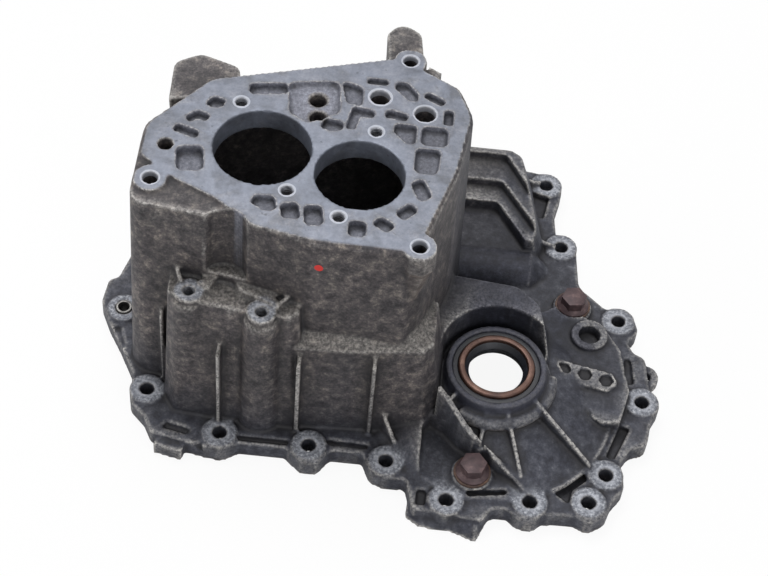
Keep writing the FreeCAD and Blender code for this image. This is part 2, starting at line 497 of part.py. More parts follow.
# Lightening pockets of the end face, clockwise from the back left; the last value is the pocket's depth.
FACE_POCKETS = [
    ([(-110.9, 59.2, 2.5), (-84.3, 62.9, 2.5), (-83.2, 53.2, 2.5), (-109.7, 49.5, 2.5)], 6),
    ([(-139.5, 36, 2), (-134, 43.5, 2), (-125.5, 41, 2), (-127, 34.5, 2), (-134, 32.5, 2)], 6),
    ([(-151, 22, 2), (-144, 28.5, 2), (-134.5, 25.5, 2), (-136, 19, 2), (-143, 21, 2), (-149, 16, 2)], 6),
    ([(-158.5, 8, 2), (-156.5, 14.5, 2), (-140, 9, 2), (-141, 2, 2)], 6),
    ([(-153.5, -7, 4), (-135.5, -4, 4), (-132.6, -26, 4), (-150.5, -28, 4)], 8),
    ([(-83.5, 64, 5), (-48, 69.5, 5), (-45.2, 40, 5), (-66, 27.5, 4), (-79.8, 35.2, 5)], 4),
    ([(-46.5, 71, 2.5), (-31, 66, 2.5), (-30, 48, 2.5), (-41, 50, 2.5)], 6),
    ([(-28.5, 70.5, 2), (-28.5, 76, 2), (-13.5, 76, 2), (-13.5, 70.5, 2)], 5),
    ([(-8, 68, 2), (-8, 75, 2), (0, 75, 3), (8.5, 65, 2), (8.5, 58, 2), (2, 58, 2)], 6),
    ([(12, 63, 2), (15, 68, 2), (28.5, 61, 2), (26, 55, 2)], 6),
    ([(28, 37.5, 2), (28, 52, 2), (34.5, 52, 2), (34.5, 37.5, 2)], 6),
    ([(-40, 25, 2), (-36.5, 47, 2), (-21, 45, 2), (-21, 38, 2), (-31, 38, 2), (-33.5, 25, 2)], 6),
    ([(-14, 40, 2), (-12, 47.5, 2.5), (3, 44, 2), (2, 37.5, 2)], 6),
    ([(-57.5, 24.5, 2.5), (-55, 33.5, 2.5), (-41.5, 31, 2.5), (-42, 23.5, 2.5), (-50, 21.5, 2)], 6),
    ([(-6, 27, 2), (-6, 34.5, 2.5), (9.5, 34.5, 2.5), (9.5, 17, 2), (3, 17, 2)], 6),
    ([(13.5, 34.5, 3), (31.5, 34.5, 3), (31.5, 17, 3), (13.5, 17, 3)], 6),
    ([(10.5, 13.5, 3), (28, 13.5, 3), (26, -9, 3), (10.5, -9, 3)], 6),
    ([(9, -19, 2.5), (17, -14, 2.5), (24.5, -30, 2.5), (16, -35, 2.5)], 6),
    ([(0, -47, 2.5), (10, -37, 2.5), (16, -43.5, 2.5), (7, -53, 2.5)], 6),
    ([(-15, -58.5, 2.5), (-9, -51.5, 2.5), (1.5, -58, 2.5), (-3, -65, 2.5)], 6),
    ([(-30, -57.5, 3), (-18, -57.5, 3), (-18, -70.5, 3), (-30, -70.5, 3)], 7),
    ([(-61.5, -48.5, 3), (-49.5, -47, 3), (-46.5, -63.5, 3), (-59, -65.5, 3)], 7),
    ([(-77.5, -49, 2.5), (-65.5, -46.5, 2.5), (-62.5, -60, 2.5), (-74.5, -61, 2.5)], 7),
    ([(-97, -50.5, 2.5), (-95.5, -43.5, 2.5), (-82, -43, 2.5), (-79, -54.5, 2.5), (-87, -56, 2.5)], 6),
]
for number, (corners, depth) in enumerate(FACE_POCKETS):
    tools.append(prism(f"face_pocket_{number}", corners, f"end_face_level - {depth}", "end_face_level + 1"))
tools.append(cylinder("pocket_drain", "2.2", "end_face_level - 16", "end_face_level", "-21.4", "-68.5"))

# Relief cast into the flange and the raised sector.
RELIEF = [
    ([(-33, -108.5, 0), (-33, -112.5, 0), (-2, -113.5, 0), (-2, -109.5, 0)], 11, 19),
    ([(-98, -112.5, 0), (-60, -112.5, 0), (-60, -116.5, 0), (-98, -116.5, 0)], 12, 19),
    ([(35.8, -143, 0), (43, -143.3, 0), (42.8, -156, 0), (35.4, -156, 0)], 11, 19),
    ([(71, -141, 0), (100, -137.5, 0), (101, -141.5, 0), (72, -146, 0)], 12, 19),
    ([(134, -134, 0), (139, -126, 0), (156, -112, 0), (159, -121, 0), (148, -131, 0), (146, -143, 0)], 10, 19),
    ([(172, -99.5, 0), (182.5, -70, 0), (190, -72, 0), (178.5, -101, 0)], 10, 30),
    ([(184, -33, 0), (186, -8, 0), (191, -9, 0), (193, -31, 0)], 12, 30),
    ([(-204, -26, 0), (-196, -46, 0), (-191, -44, 0), (-198, -25, 0)], 13, 19),
    ([(-153, -112, 0), (-134, -116, 0), (-133, -111, 0), (-151, -107, 0)], 12, 19),
    ([(-134, -133, 0), (-134, -125, 0), (-122, -122, 0), (-122, -132, 0)], 8, 19),
    ([(120, 124, 0), (124, 146, 0), (110, 150, 0), (108, 126, 0)], 10, 19),
]
for number, (corners, low, high) in enumerate(RELIEF):
    tools.append(prism(f"relief_{number}", corners, str(low), str(high)))
for number, (sx, sy) in enumerate(((138, -33.5), (154, -36.5), (170, -40.5))):
    socket = doc.addObject("Part::Prism", f"socket_{number}")
    socket.Polygon = 6
    bind(socket, Circumradius="socket_radius", Height="6", x=str(sx), y=str(sy), z="sector_level")
    tools.append(socket)

housing = cut("housing_casting", fuse("case_with_bosses", shell, *inner), fuse("machining", *tools))


# ---------------------------------------------------------------- seal, bearing cup, bolts and dowel sleeve
def body(name, base=("0", "0", "0")):
    """An empty body placed by expressions."""
    thing = doc.addObject("PartDesign::Body", name)
    return bind(thing, x=base[0], y=base[1], z=base[2])


def plane_of(thing, role):
    """One of a body's own origin planes."""
    return next(feature for feature in thing.Origin.OriginFeatures if feature.Role == role)


def drawing_in(thing, name, role, edges):
    """A sketch on one of the body's own planes."""
    flat = thing.newObject("Sketcher::SketchObject", name)
    flat.AttachmentSupport = (plane_of(thing, role), [""])
    flat.MapMode = "FlatFace"
    flat.addGeometry(edges, False)
    return flat


def loop(points):
    """Straight edges round a closed list of points (x, y)."""
    corners = [Vector(px, py, 0) for px, py in points]
    return [Part.LineSegment(corners[i - 1], corners[i]) for i in range(len(corners))]


def turned(name, base, profile):
    """A piece turned about its own Z axis from a profile of (radius, height) points."""
    thing = body(name, base)
    flat = drawing_in(thing, name + "_profile", "XZ_Plane", loop(profile))
    turn = thing.newObject("PartDesign::Revolution", name + "_turn")
    turn.Profile = flat
    turn.ReferenceAxis = (flat, ["V_Axis"])
    turn.Angle = 360
    thing.Tip = turn
    return thing


gap = size("seat_gap")
depth = size("seal_depth")
r_out = size("seal_radius") - size("jacket_thick")
r_in = r_out - size("ring_width")
seal_base = ("seal_x", "seal_y", "nose_level - seal_depth")
top = depth + size("ring_proud")
seal_case = turned("seal_case", seal_base, [(r_in, 0), (r_out - gap, 0), (r_out - gap, top - 0.8), (r_out - gap - 0.8, top),
                                            (r_in, top)])
jacket_top = depth - size("jacket_recess")
jacket_out = size("seal_radius") - gap
seal_jacket = turned("seal_jacket", seal_base, [(r_out, 0), (jacket_out, 0), (jacket_out, jacket_top), (r_out, jacket_top)])
lip = r_in - gap - size("lip_reach")
lip_low = -size("seat_web") + 0.5
seal_lip = turned("seal_lip", seal_base, [(r_in - gap, 0), (r_in - gap, top - 2.5), (lip, 4.4), (lip + 1.6, lip_low), (r_in - gap, lip_low)])
cup_base = ("seal_x", "seal_y", "nose_level - seal_depth - seat_web - cup_height")
cup_out, cup_in, cup_h = size("cup_radius") - gap, size("cup_radius") - size("cup_wall"), size("cup_height")
bearing_cup = turned("differential_bearing_cup", cup_base, [(cup_in + 2.4, 0), (cup_out, 0), (cup_out, cup_h), (cup_in - 1, cup_h)])

flats, head_h = size("head_flats"), size("head_height")
collar_r, collar_h = size("head_collar"), size("head_collar_height")
shank, shank_h = size("shank_radius"), size("shank_length")
washer_t, washer_r = size("washer_thick"), size("washer_radius")
side_bolts, side_washers = [], []
for key in SIDE_BOLTS:
    at = (f"side_bolt_{key}_x", f"side_bolt_{key}_y")
    bolt = turned(f"side_bolt_{key}", at + ("side_seat_level + washer_thick",),
                  [(0, -shank_h), (shank, -shank_h), (shank, 0), (collar_r, 0), (collar_r, 1.2), (flats / 2 + 0.6, collar_h),
                   (0, collar_h)])
    reach = flats / math.sqrt(3)
    hexagon = [(reach * math.cos(math.radians(60 * i + 8)), reach * math.sin(math.radians(60 * i + 8))) for i in range(6)]
    head = bolt.newObject("PartDesign::Pad", f"head_{key}")
    head.Profile = drawing_in(bolt, f"head_{key}_outline", "XY_Plane", loop(hexagon))
    bind(head, Length="head_height + head_collar_height")
    bolt.Tip = head
    side_bolts.append(bolt)
    washer = turned(f"side_bolt_{key}_washer", at + ("side_seat_level",),
                    [(shank + gap, 0), (washer_r, 0), (washer_r, washer_t), (shank + gap, washer_t)])
    side_washers.append(washer)

sleeve_r, sleeve_hole, sleeve_h = size("dowel_radius"), size("dowel_hole"), size("dowel_length")
dowel_sleeve = turned("dowel_sleeve", ("dowel_sleeve_x", "dowel_sleeve_y", "2"),
                      [(sleeve_hole, 0), (sleeve_r, 0), (sleeve_r, sleeve_h), (sleeve_hole, sleeve_h)])

# ---------------------------------------------------------------- write every sub-part
doc.recompute()
faults = [thing.Name for thing in doc.Objects if "Invalid" in thing.State or "Error" in thing.State]
if faults:
    raise RuntimeError(f"objects that failed: {faults}")
os.makedirs("parts", exist_ok=True)
for thing in [housing, seal_case, seal_jacket, seal_lip, bearing_cup, dowel_sleeve] + side_bolts + side_washers:
    shape = thing.Shape
    if shape.isNull() or not shape.isValid():
        raise RuntimeError(f"{thing.Label} has no valid shape")
    shape.exportStep(f"parts/{thing.Label}.step")
    print(thing.Label, round(shape.Volume), len(shape.Solids), shape.BoundBox)
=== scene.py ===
import bpy
import bmesh
import math
import numpy as np
from mathutils import Matrix, Vector


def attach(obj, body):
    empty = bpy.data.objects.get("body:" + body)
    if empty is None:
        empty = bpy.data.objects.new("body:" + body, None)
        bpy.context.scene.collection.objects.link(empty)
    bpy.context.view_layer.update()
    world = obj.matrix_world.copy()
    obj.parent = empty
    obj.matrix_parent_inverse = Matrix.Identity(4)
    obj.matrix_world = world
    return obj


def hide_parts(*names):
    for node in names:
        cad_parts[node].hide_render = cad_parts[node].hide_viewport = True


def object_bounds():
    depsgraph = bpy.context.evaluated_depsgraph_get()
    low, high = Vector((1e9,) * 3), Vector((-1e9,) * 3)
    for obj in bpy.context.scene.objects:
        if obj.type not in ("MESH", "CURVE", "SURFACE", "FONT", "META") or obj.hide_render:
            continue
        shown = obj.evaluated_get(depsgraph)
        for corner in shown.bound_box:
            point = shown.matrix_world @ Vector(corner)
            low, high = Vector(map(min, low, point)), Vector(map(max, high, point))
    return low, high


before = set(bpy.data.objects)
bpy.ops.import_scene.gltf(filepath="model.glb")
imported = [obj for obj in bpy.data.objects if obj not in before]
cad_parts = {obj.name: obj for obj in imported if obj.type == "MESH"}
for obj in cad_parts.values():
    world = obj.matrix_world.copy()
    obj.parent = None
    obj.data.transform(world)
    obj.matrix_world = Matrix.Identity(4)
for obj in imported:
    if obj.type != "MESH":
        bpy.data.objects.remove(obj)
cad_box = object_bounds()

# --------------------------------------------------------------------------- Housing casting: one
# aluminium die casting, shaken out with rounded edges and a grainy skin, then machined on the end
# face, the bores and the spot faces.
CAST_VOXEL = 0.00125
CAST_TRIANGLES = 190000
# Bores as the place of the axis and the radius, and the level of the machined end face, in metres.
INPUT_BORE = (-0.095, 0.0, 0.034)
OUTPUT_BORE = (-0.0262, -0.0164, 0.031)
SEAL_AXIS = (0.0854, -0.058)
END_FACE_Z = 0.205
BOSS_FACE_Z = 0.018
# Places in mm, seen from above: flange bolts, threads, ears, shift housing's bosses, rod bores, end face.
FLANGE_BOLTS = [(-168.9, -80.9), (-110.9, -112.7), (-45.2, -116.0), (11.7, -122.8), (57.3, -150.9),
                (117.4, -145.6), (159.8, -141.3), (172.1, -116.3), (198.7, -48.6), (180.8, 25.7),
                (134.7, 94.2), (121.3, 157.9), (40.0, 158.0), (-38.0, 128.0), (-108.0, 110.0),
                (-168.0, 72.0), (-197.8, -8.7)]
THREADS = [(-114.6, 40.5), (-18.2, 25.0), (-74.0, -36.7), (-37.2, -55.5)]
EARS = [(-166.9, -37.4), (18.9, -74.3), (0.8, 96.9)]
SHIFT_BOSSES = [(-136.0, -79.0), (-84.0, -91.0)]
RODS = [(-61.6, 53.2), (-60.0, 36.5), (-18.1, 58.3), (14.6, 46.3), (-161.2, -5.7)]
FACE_EDGE = [(-176, -17), (-150, -36), (-122, -48), (-93, -68), (-50, -77), (12, -79), (19, -69), (38, -5),
             (46, 48), (36, 73), (9, 89), (1, 100), (-137, 59), (-175, 12)]
# Ribs of the cone in mm: start, end, height of the top edge at the start and at the end.
CONE_RIBS = [((60.5, -79), (52.5, -88.5), 57, 52), ((80.8, -90), (77.5, -116), 56, 32),
             ((94, -89), (110, -130), 56, 25), ((111, -78), (160, -112.5), 56, 23)]
RIB_FOOT = 12
RIB_THICK = 2.8
# End wall of the stepped bay in mm: start, end, foot, height at the start and at the end, thickness.
BAY_END = ((12.2, 98), (12.2, 161), 1, 25, 25, 4)
# Beads round the drive shaft in mm and degrees: radius, level, section radius, first and last angle.
COLLAR_BEAD = (41.0, 43.5, 5.5, -125, 5)
FOOT_BEAD = (90.0, 17.0, 2.2, -58, 20)
BEAD_STEPS = 40
BEAD_SIDES = 10


def merged_copy(name, node):
    """A welded copy of a CAD node's mesh."""
    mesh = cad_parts[node].data.copy()
    mesh.name = name
    piece = bpy.data.objects.new(name, mesh)
    bpy.context.scene.collection.objects.link(piece)
    work = bmesh.new()
    work.from_mesh(mesh)
    bmesh.ops.remove_doubles(work, verts=work.verts, dist=1e-6)
    work.to_mesh(mesh)
    work.free()
    return piece


def applied(piece):
    """Turn a piece and its modifiers into a plain mesh."""
    depsgraph = bpy.context.evaluated_depsgraph_get()
    depsgraph.update()
    mesh = bpy.data.meshes.new_from_object(piece.evaluated_get(depsgraph))
    piece.modifiers.clear()
    piece.data = mesh
    return piece


def modifier(piece, kind, **settings):
    """Add one modifier with its settings."""
    made = piece.modifiers.new(kind.title(), kind)
    for key, value in settings.items():
        setattr(made, key, value)
    return made


def bar(work, start, end, low, high_start, high_end, thick):
    """Add an upright rib between two places in mm, with a sloping top edge."""
    (x0, y0), (x1, y1) = start, end
    reach = math.hypot(x1 - x0, y1 - y0)
    sx, sy = -(y1 - y0) / reach * thick / 2, (x1 - x0) / reach * thick / 2
    rows = [(x0, y0, low), (x1, y1, low), (x1, y1, high_end), (x0, y0, high_start)]
    near_side = [work.verts.new(((px + sx) / 1000, (py + sy) / 1000, pz / 1000)) for px, py, pz in rows]
    far_side = [work.verts.new(((px - sx) / 1000, (py - sy) / 1000, pz / 1000)) for px, py, pz in rows]
    work.faces.new(near_side)
    work.faces.new(far_side[::-1])
    for i in range(4):
        work.faces.new((near_side[i - 1], far_side[i - 1], far_side[i], near_side[i]))


def bead(work, radius, level, section, begin, finish):
    """Add a rounded bead in mm round the drive shaft, along an arc given in degrees."""
    centre_x, centre_y = SEAL_AXIS[0] * 1000, SEAL_AXIS[1] * 1000
    rings = []
    for step in range(BEAD_STEPS + 1):
        along = math.radians(begin + (finish - begin) * step / BEAD_STEPS)
        ring = []
        for side in range(BEAD_SIDES):
            around = math.radians(360 / BEAD_SIDES * side)
            out = radius + section * math.cos(around)
            ring.append(work.verts.new(((centre_x + out * math.cos(along)) / 1000,
                                        (centre_y + out * math.sin(along)) / 1000,
                                        (level + section * math.sin(around)) / 1000)))
        rings.append(ring)
    for low_ring, high_ring in zip(rings, rings[1:]):
        for side in range(BEAD_SIDES):
            work.faces.new((low_ring[side - 1], low_ring[side], high_ring[side], high_ring[side - 1]))
    work.faces.new(rings[0][::-1])
    work.faces.new(rings[-1])


# The cone's ribs stand proud of it with sharp tops; a collar runs under the nose, a bead along its foot.
casting = merged_copy("housing_cast", "housing_casting")
work = bmesh.new()
for start, end, high_start, high_end in CONE_RIBS:
    bar(work, start, end, RIB_FOOT, high_start, high_end, RIB_THICK)
bar(work, *BAY_END)
bead(work, *COLLAR_BEAD)
bead(work, *FOOT_BEAD)
bmesh.ops.recalc_face_normals(work, faces=work.faces)
added_forms = bpy.data.meshes.new("ribs")
work.to_mesh(added_forms)
work.free()
work = bmesh.new()
work.from_mesh(casting.data)
work.from_mesh(added_forms)
work.to_mesh(casting.data)
work.free()
modifier(casting, "REMESH", mode="VOXEL", voxel_size=CAST_VOXEL, adaptivity=0.0)
modifier(casting, "SMOOTH", factor=0.5, iterations=2)
applied(casting)
# Every face of the remeshed skin is a quad, so two triangles.
modifier(casting, "DECIMATE", ratio=min(1.0, CAST_TRIANGLES / (len(casting.data.polygons) * 2)))
applied(casting)
casting.data.shade_smooth()
mesh = casting.data
total = len(mesh.vertices)
points = np.empty(total * 3)
mesh.vertices.foreach_get("co", points)
points = points.reshape(-1, 3)
x, y, z = points.T
normals = np.empty(total * 3, np.float32)
mesh.vertex_normals.foreach_get("vector", normals)
normals = normals.reshape(-1, 3).astype(float)
edges = np.empty(len(mesh.edges) * 2, np.int32)
mesh.edges.foreach_get("vertices", edges)
edges = edges.reshape(-1, 2)


def blurred(values, rounds):
    """Average a number per point with its neighbours, so many times."""
    degree = np.bincount(edges.ravel(), minlength=total).astype(float)
    degree[degree == 0] = 1
    for _ in range(rounds):
        around = np.bincount(edges[:, 0], values[edges[:, 1]], total)
        around = around + np.bincount(edges[:, 1], values[edges[:, 0]], total)
        values = 0.4 * values + 0.6 * around / degree
    return values


def attribute(name, values, rounds=0):
    """Store one number per point for the material, blurred so many times."""
    layer = mesh.attributes.new(name, "FLOAT", "POINT")
    layer.data.foreach_set("value", np.clip(blurred(values, rounds), 0, 1).astype(np.float32))


def near(places, reach):
    """Whether each point lies within a reach in mm of any of the places, seen from above."""
    return np.min([np.hypot(x - px / 1000, y - py / 1000) for px, py in places], axis=0) < reach / 1000


def inside_edge(px, py):
    """Whether each place lies inside the edge of the end face, seen from above."""
    crossings = np.zeros(total, int)
    for (x0, y0), (x1, y1) in zip(corners, np.roll(corners, -1, axis=0)):
        between = (y0 > py) != (y1 > py)
        crossings += between & (px < (x1 - x0) * (py - y0) / (y1 - y0 + 1e-12) + x0)
    return crossings % 2 == 1


# How sharply the skin turns outwards or inwards at each point: worn edges that also carry a painted highlight,
# and painted shade in the corners and creases.
BEND_SCALE = 0.002
BEND_GAIN = 1.6
step = points[edges[:, 1]] - points[edges[:, 0]]
length = np.linalg.norm(step, axis=1) + 1e-9
turn = np.einsum("ij,ij->i", normals[edges[:, 1]] - normals[edges[:, 0]], step) / length ** 2
bend = np.bincount(edges[:, 0], turn, total) + np.bincount(edges[:, 1], turn, total)
bend /= np.maximum(np.bincount(edges.ravel(), minlength=total), 1)
bend = blurred(bend * BEND_SCALE, 2)
# Outward bends are painted lighter: rubbed wear and a painted highlight.
attribute("edge_wear_and_highlight", bend * BEND_GAIN - 0.10)
# Inward bends are painted darker: painted shade in the corners and creases.
attribute("inward_bend_shade", np.clip(-bend * BEND_GAIN, 0, 1), 3)

# The machined end face, with the mouths of both bores down to this level.
MOUTH_FOOT = 0.186
up = np.clip((normals[:, 2] - 0.86) / 0.1, 0, 1)
end_face = up * (z > END_FACE_Z - 0.0006)
for bx, by, radius in (INPUT_BORE, OUTPUT_BORE):
    end_face = np.maximum(end_face, (np.abs(np.hypot(x - bx, y - by) - radius) < 0.0012) * (z > MOUTH_FOOT))
attribute("machined", end_face, 1)

# Spot faces of the bolt bosses and the countersunk rims of their holes: reach in mm round each bolt.
FLANGE_SPOT, FLANGE_RIM = 13.2, 7.4
SHIFT_SPOT, SHIFT_RIM = 10.8, 6.0
at_shift_face = (z > 0.1375) * (z < 0.141)
spot = up * (np.abs(z - BOSS_FACE_Z) < 0.0007) * near(FLANGE_BOLTS, FLANGE_SPOT)
attribute("spot_face", np.maximum(spot, up * at_shift_face * near(SHIFT_BOSSES, SHIFT_SPOT)), 1)
rim = up * (z > 0.0165) * (z < 0.019) * near(FLANGE_BOLTS, FLANGE_RIM)
attribute("hole_rim", np.maximum(rim, up * at_shift_face * near(SHIFT_BOSSES, SHIFT_RIM)), 1)

# Pockets of the end face: inside its edge and below its level, clear of the bores and holes.
POCKET_FLOOR = 0.1955
corners = np.array(FACE_EDGE) / 1000
pocket = inside_edge(x, y) & (z > POCKET_FLOOR) & (z < END_FACE_Z - 0.0004)
for bx, by, radius in (INPUT_BORE, OUTPUT_BORE):
    pocket &= np.hypot(x - bx, y - by) > radius + 0.001
pocket &= ~near(THREADS, 4.6) & ~near(RODS, 7.8)
attribute("pocket", pocket.astype(float), 1)

# The room inside the tower, a little smaller than the end face and below its plate; it, the undersides and a
# hollow round (-62, -6) mm get their own brown tone, painted lighter as fill light.
ROOM_SHRINK = 1.045
ROOM_CEILING = 0.1885
middle = corners.mean(axis=0)
room = inside_edge((x - middle[0]) * ROOM_SHRINK + middle[0], (y - middle[1]) * ROOM_SHRINK + middle[1])
room &= z < ROOM_CEILING
inside = np.clip(-normals[:, 2], 0, 1)
hollow = np.zeros(total)
hollow[(z < 0.19) & (np.hypot(x + 0.062, y + 0.006) < 0.03)] = 1
attribute("inside", np.maximum(inside * (z < 0.192), np.maximum(hollow, room)))

# Dust with a painted top light on the tower's upward slopes, painted shade round the barrel, and the smooth seal
# nose.
# Upward-facing slopes are painted lighter: dust, and a painted top light.
dust_and_top_light = np.clip((normals[:, 2] - 0.2) / 0.4, 0, 1) * (z < 0.150) * (z > 0.03) * (x < 0.036)
attribute("dust_and_top_light", dust_and_top_light * ~room, 1)
# A box round the barrel and the raised wall behind the seal is painted darker and bluer: painted shade.
rear_shade = (x > 0.047) * (y > -0.022) * (y < 0.1) * (z > 0.0195) * (x + y * 0.6 < 0.155)
attribute("rear_shade", rear_shade.astype(float), 6)
NOSE_RADIUS = 0.0385
NOSE_FOOT = 0.046
nose = (np.hypot(x - SEAL_AXIS[0], y - SEAL_AXIS[1]) < NOSE_RADIUS) & (z > NOSE_FOOT)
attribute("nose", nose.astype(float), 1)
# The tower's skin is browner than the flange and the differential side.
side = np.clip((z - 0.019) / 0.02, 0, 1) * np.clip((0.056 - x) / 0.02, 0, 1)
attribute("tower_skin", side, 4)


def linear(hex_colour, alpha=1.0):
    """An sRGB hex colour as linear RGBA."""
    out = []
    for i in (0, 2, 4):
        c = int(hex_colour[i:i + 2], 16) / 255
        out.append(c / 12.92 if c <= 0.04045 else ((c + 0.055) / 1.055) ** 2.4)
    return (*out, alpha)


def add(tree, kind, inputs=None, stops=(), **settings):
    """Add one node: inputs hold values or outputs to link, stops a ramp's colours, the rest properties."""
    node = tree.nodes.new(kind)
    for key, value in settings.items():
        setattr(node, key, value)
    for name, value in (inputs or {}).items():
        if isinstance(value, bpy.types.NodeSocket):
            tree.links.new(value, node.inputs[name])
        else:
            node.inputs[name].default_value = value
    elements = node.color_ramp.elements if stops else ()
    while len(elements) < len(stops):
        elements.new(0.5)
    for element, (position, colour) in zip(elements, stops):
        element.position = position
        element.color = linear(colour) if isinstance(colour, str) else (colour, colour, colour, 1)
    return node


def new_material(name):
    """A material with a bare Principled surface, as (material, tree, shader, object coordinates)."""
    material = bpy.data.materials.new(name)
    material.use_nodes = True
    tree = material.node_tree
    tree.nodes.clear()
    shader = add(tree, "ShaderNodeBsdfPrincipled")
    add(tree, "ShaderNodeOutputMaterial", {"Surface": shader.outputs["BSDF"]})
    place = add(tree, "ShaderNodeTexCoord").outputs["Object"]
    return material, tree, shader, place


def blobs(millimetres):
    """The noise scale that gives blobs of about this size."""
    return 1000.0 / millimetres / 2


# Die-cast aluminium: a grainy grey skin; oil and dust lie in it as brown blotches, edges are rubbed bright and
# carry a painted highlight, and painted shade lies in the corners and over the rear.
# Noises of the skin: size of the blobs in mm, detail, roughness and distortion.
SKIN_NOISES = {"fine": (1.1, 6, 0.72, 0.0), "blotch": (3.6, 7, 0.74, 0.0), "cloud": (20, 5, 0.66, 0.0),
               "patch": (12, 6, 0.62, 0.4), "speck": (2.4, 3, 0.6, 0.0), "pits": (5, 4, 0.6, 0.0)}
# Colours of the skin, each along one of those noises; a plain number is a level of grey.
SKIN_COLOURS = {
    "tower": ("blotch", [(0.34, "3B393C"), (0.46, "565357"), (0.56, "757171"), (0.68, "A59F98")]),
    "tower_grain": ("fine", [(0.34, "3E3C40"), (0.52, "8A8788"), (0.66, "D6D0C8")]),
    "tower_cloud": ("cloud", [(0.38, "696869"), (0.60, "B2ADA9")]),
    "flange": ("blotch", [(0.34, "292A33"), (0.48, "3E404A"), (0.60, "565861"), (0.74, "898B91")]),
    "flange_grain": ("fine", [(0.35, "4A4A4E"), (0.58, "8C8C90"), (0.72, "E0E0E4")]),
    # Breaks up the lighter edges, which are wear with a painted highlight.
    "wear_and_highlight_break": ("fine", [(0.36, 0), (0.60, 1)]),
    # The inside's own brown tone, painted lighter as fill light.
    "inner": ("patch", [(0.3, "4A3F38"), (0.6, "7A6C60"), (0.8, "9A8E82")]),
    # Dust, laid on upward slopes where it also paints the top light.
    "dust_and_top_light_tone": ("fine", [(0.38, "55534F"), (0.50, "8F8B86"), (0.62, "C6C1B9")]),
    "nose": ("blotch", [(0.35, "2C2D38"), (0.6, "3D3F4C"), (0.8, "595B66")]),
    "spot": ("fine", [(0.34, "4A4C54"), (0.50, "777A82"), (0.66, "B9BBC0")]),
    "spot_break": ("patch", [(0.30, .35), (0.5, 1)]),
    "face": ("blotch", [(0.30, "5D616B"), (0.5, "6A6F7B"), (0.70, "7A7E89")]),
    "face_stain": ("patch", [(0.38, "A8A49E"), (0.5, "FFFFFF")]),
    "face_speck": ("speck", [(0.26, "77726C"), (0.34, "FFFFFF")]),
    "pocket": ("fine", [(0.34, "5C5D66"), (0.52, "7A7C87"), (0.70, "999BA5")])}
# Tints laid over a colour: colour, tint, strength and blend.
SKIN_TINTS = [("tower", "tower_grain", 0.60, "OVERLAY"), ("tower", "tower_cloud", 0.55, "OVERLAY"),
              ("flange", "flange_grain", 0.40, "OVERLAY"), ("face", "face_stain", 0.5, "MULTIPLY"),
              ("face", "face_speck", 0.6, "MULTIPLY")]
# Countersunk rims in metres round the threads, ears and rod bores, left bright by the tool.
BRIGHT_RIMS = ((THREADS, 0.0062), (EARS, 0.0069), (RODS[2:4], 0.0090))
RIM_STRENGTH = 0.55
PAINT_DAB = (-0.0471, -0.0819, 0.1800)
PAINT_REACH = 0.0042
PAINT_RAGGED = 0.0022
CAST_ROUGHNESS = 0.60
MACHINED_ROUGHNESS = 0.46

cast_skin, tree, shader, place = new_material("die_cast_aluminium_grime_and_painted_shade")
noises = {}
for name, (across, detail, rough, twist) in SKIN_NOISES.items():
    noises[name] = add(tree, "ShaderNodeTexNoise", {"Vector": place, "Scale": blobs(across), "Detail": detail,
                                                    "Roughness": rough, "Distortion": twist}).outputs["Fac"]
colours = {}
for name, (source, stops) in SKIN_COLOURS.items():
    colours[name] = add(tree, "ShaderNodeValToRGB", {"Fac": noises[source]}, stops).outputs["Color"]
for name, tint, strength, blend in SKIN_TINTS:
    colours[name] = add(tree, "ShaderNodeMix", {0: strength, 6: colours[name], 7: colours[tint]},
                        data_type="RGBA", blend_type=blend).outputs[2]
marks = {}
for name in ("tower_skin", "inward_bend_shade", "edge_wear_and_highlight", "rear_shade", "dust_and_top_light", "inside", "nose", "spot_face",
             "machined", "pocket", "hole_rim"):
    marks[name] = add(tree, "ShaderNodeAttribute", attribute_name=name,
                      attribute_type="GEOMETRY").outputs["Fac"]
# Strengths worked out from the marks: name, mark, factor, and whether the result is clamped.
for name, mark, factor, clamp in (("corner_shade", "inward_bend_shade", 1.6, True), ("wear_and_highlight", "edge_wear_and_highlight", 1.25, True),
                                  ("rubbed_wear_and_highlight", "wear_and_highlight", colours["wear_and_highlight_break"], False), ("dust_and_top_light_gain", "dust_and_top_light", 0.42, False),
                                  ("nose_coat", "nose", 0.85, False),
                                  ("spot", "spot_face", colours["spot_break"], False),
                                  ("face_corner_shade", "corner_shade", 0.75, False), ("bright_rim", "hole_rim", 0.7, False)):
    marks[name] = add(tree, "ShaderNodeMath", {0: marks[mark], 1: factor}, operation="MULTIPLY",
                      use_clamp=clamp).outputs[0]
skin = colours["flange"]
# The layers of the skin from the casting up, each by its mark; the painted rear shade darkens whatever lies
# below it, and the corner layers are painted shade.
for mark, colour in (("tower_skin", colours["tower"]), ("corner_shade", linear("1E1B1A")), ("rubbed_wear_and_highlight", linear("B9B6B2")),
                     ("rear_shade", None), ("dust_and_top_light_gain", colours["dust_and_top_light_tone"]), ("inside", colours["inner"]),
                     ("nose_coat", colours["nose"]), ("spot", colours["spot"]), ("machined", colours["face"]),
                     ("pocket", colours["pocket"]), ("face_corner_shade", linear("26262A")),
                     ("bright_rim", linear("B9BCC4"))):
    # The painted rear shade multiplies the skin darker and bluer.
    if mark == "rear_shade":
        colour = add(tree, "ShaderNodeMix", {0: 1.0, 6: skin, 7: linear("A3A5B4")}, data_type="RGBA",
                     blend_type="MULTIPLY").outputs[2]
    skin = add(tree, "ShaderNodeMix", {0: marks[mark], 6: skin, 7: colour}, data_type="RGBA").outputs[2]
